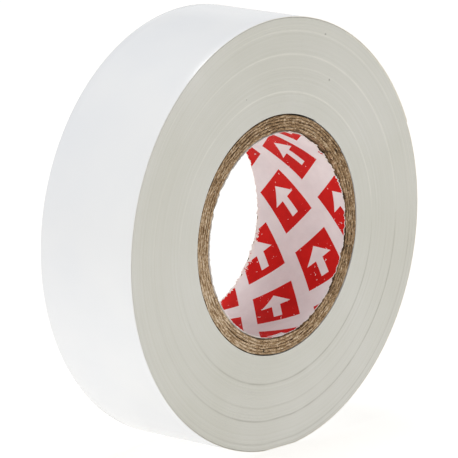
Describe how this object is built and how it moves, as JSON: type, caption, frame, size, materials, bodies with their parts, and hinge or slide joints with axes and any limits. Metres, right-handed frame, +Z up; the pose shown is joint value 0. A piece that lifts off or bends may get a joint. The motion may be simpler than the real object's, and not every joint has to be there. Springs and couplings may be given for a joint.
{
  "type": "electrical tape roll",
  "caption": "Roll of white vinyl electrical tape on a spiral-wound board core, with a free end that lifts and curls off the rim.",
  "frame": {"origin": "on the surface that the roll stands on, under the middle of the roll", "axes": "+Y along the roll's axis from the front side to the back side, +Z up, +X to the right seen from the front"},
  "size_m": [0.0694, 0.0192, 0.0693],
  "materials": {
    "vinyl_film": "glossy calendered white vinyl film",
    "slit_vinyl": "satin slit edges of the wound turns",
    "kraft_board": "raw cut kraft board",
    "liner_paper": "uncoated printed white paper"
  },
  "bodies": {
    "roll": {"wound_tape": "slit_vinyl", "outer_turn": "vinyl_film", "core_liner": "liner_paper", "core_ply_1": "kraft_board", "core_ply_2": "kraft_board", "core_ply_3": "kraft_board", "core_ply_4": "kraft_board", "core_ply_5": "kraft_board"},
    "tape_end_1": {"tape_end_1": "vinyl_film"},
    "tape_end_2": {"tape_end_2": "vinyl_film"},
    "tape_end_3": {"tape_end_3": "vinyl_film"},
    "tape_end_4": {"tape_end_4": "vinyl_film"}
  },
  "joints": [
    {"name": "end_lift", "type": "hinge", "parent": "roll", "child": "tape_end_1", "pos_m": [0.01577, -0.00006, 0.06547], "axis": [0, -1, 0], "range_deg": [0, 30]},
    {"name": "end_curl_2", "type": "hinge", "parent": "tape_end_1", "child": "tape_end_2", "pos_m": [0.02085, -0.00006, 0.06231], "axis": [0, -1, 0], "range_deg": [0, 30]},
    {"name": "end_curl_3", "type": "hinge", "parent": "tape_end_2", "child": "tape_end_3", "pos_m": [0.02531, -0.00006, 0.05833], "axis": [0, -1, 0], "range_deg": [0, 30]},
    {"name": "end_curl_4", "type": "hinge", "parent": "tape_end_3", "child": "tape_end_4", "pos_m": [0.02902, -0.00006, 0.05364], "axis": [0, -1, 0], "range_deg": [0, 30]}
  ],
  "couplings": [
    {"joint": "end_curl_2", "follows": "end_lift", "ratio": 1},
    {"joint": "end_curl_3", "follows": "end_lift", "ratio": 1},
    {"joint": "end_curl_4", "follows": "end_lift", "ratio": 1}
  ]
}
